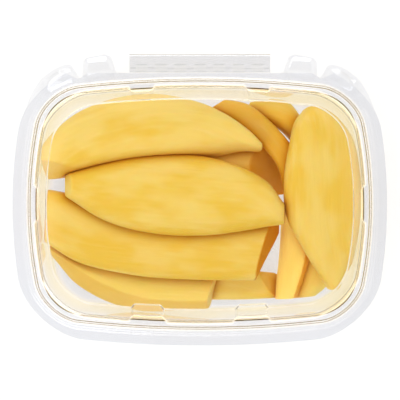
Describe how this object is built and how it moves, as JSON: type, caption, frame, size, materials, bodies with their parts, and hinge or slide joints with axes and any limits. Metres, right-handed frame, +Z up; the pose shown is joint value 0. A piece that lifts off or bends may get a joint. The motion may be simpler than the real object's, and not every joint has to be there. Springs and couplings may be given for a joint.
{
  "type": "pack of sliced mango",
  "caption": "Shut clear plastic fruit pack: open-topped tray, domed press-on lid and perforated tear strip along the back, filled with peeled mango cut into long curved slices.",
  "frame": {"origin": "middle of the tray's flat underside, on the surface that the pack stands on", "axes": "+X along the pack's long side, +Y towards the hinge side with the tear strip, +Z up through the lid"},
  "size_m": [0.1836, 0.1427, 0.046],
  "materials": {
    "clear_sheet": "polished",
    "strip_sheet": "gloss",
    "mango_flesh": "satin"
  },
  "bodies": {
    "root": {"tray": "clear_sheet", "lid": "clear_sheet", "tear_strip": "strip_sheet", "slice_low_middle": "mango_flesh", "slice_low_front": "mango_flesh", "slice_low_back_right": "mango_flesh", "slice_low_right_front": "mango_flesh", "slice_front_left": "mango_flesh", "slice_right_narrow": "mango_flesh", "slice_back_curved": "mango_flesh", "slice_front_wide": "mango_flesh", "slice_middle": "mango_flesh", "slice_back_long": "mango_flesh", "slice_right_wide": "mango_flesh"}
  },
  "joints": []
}
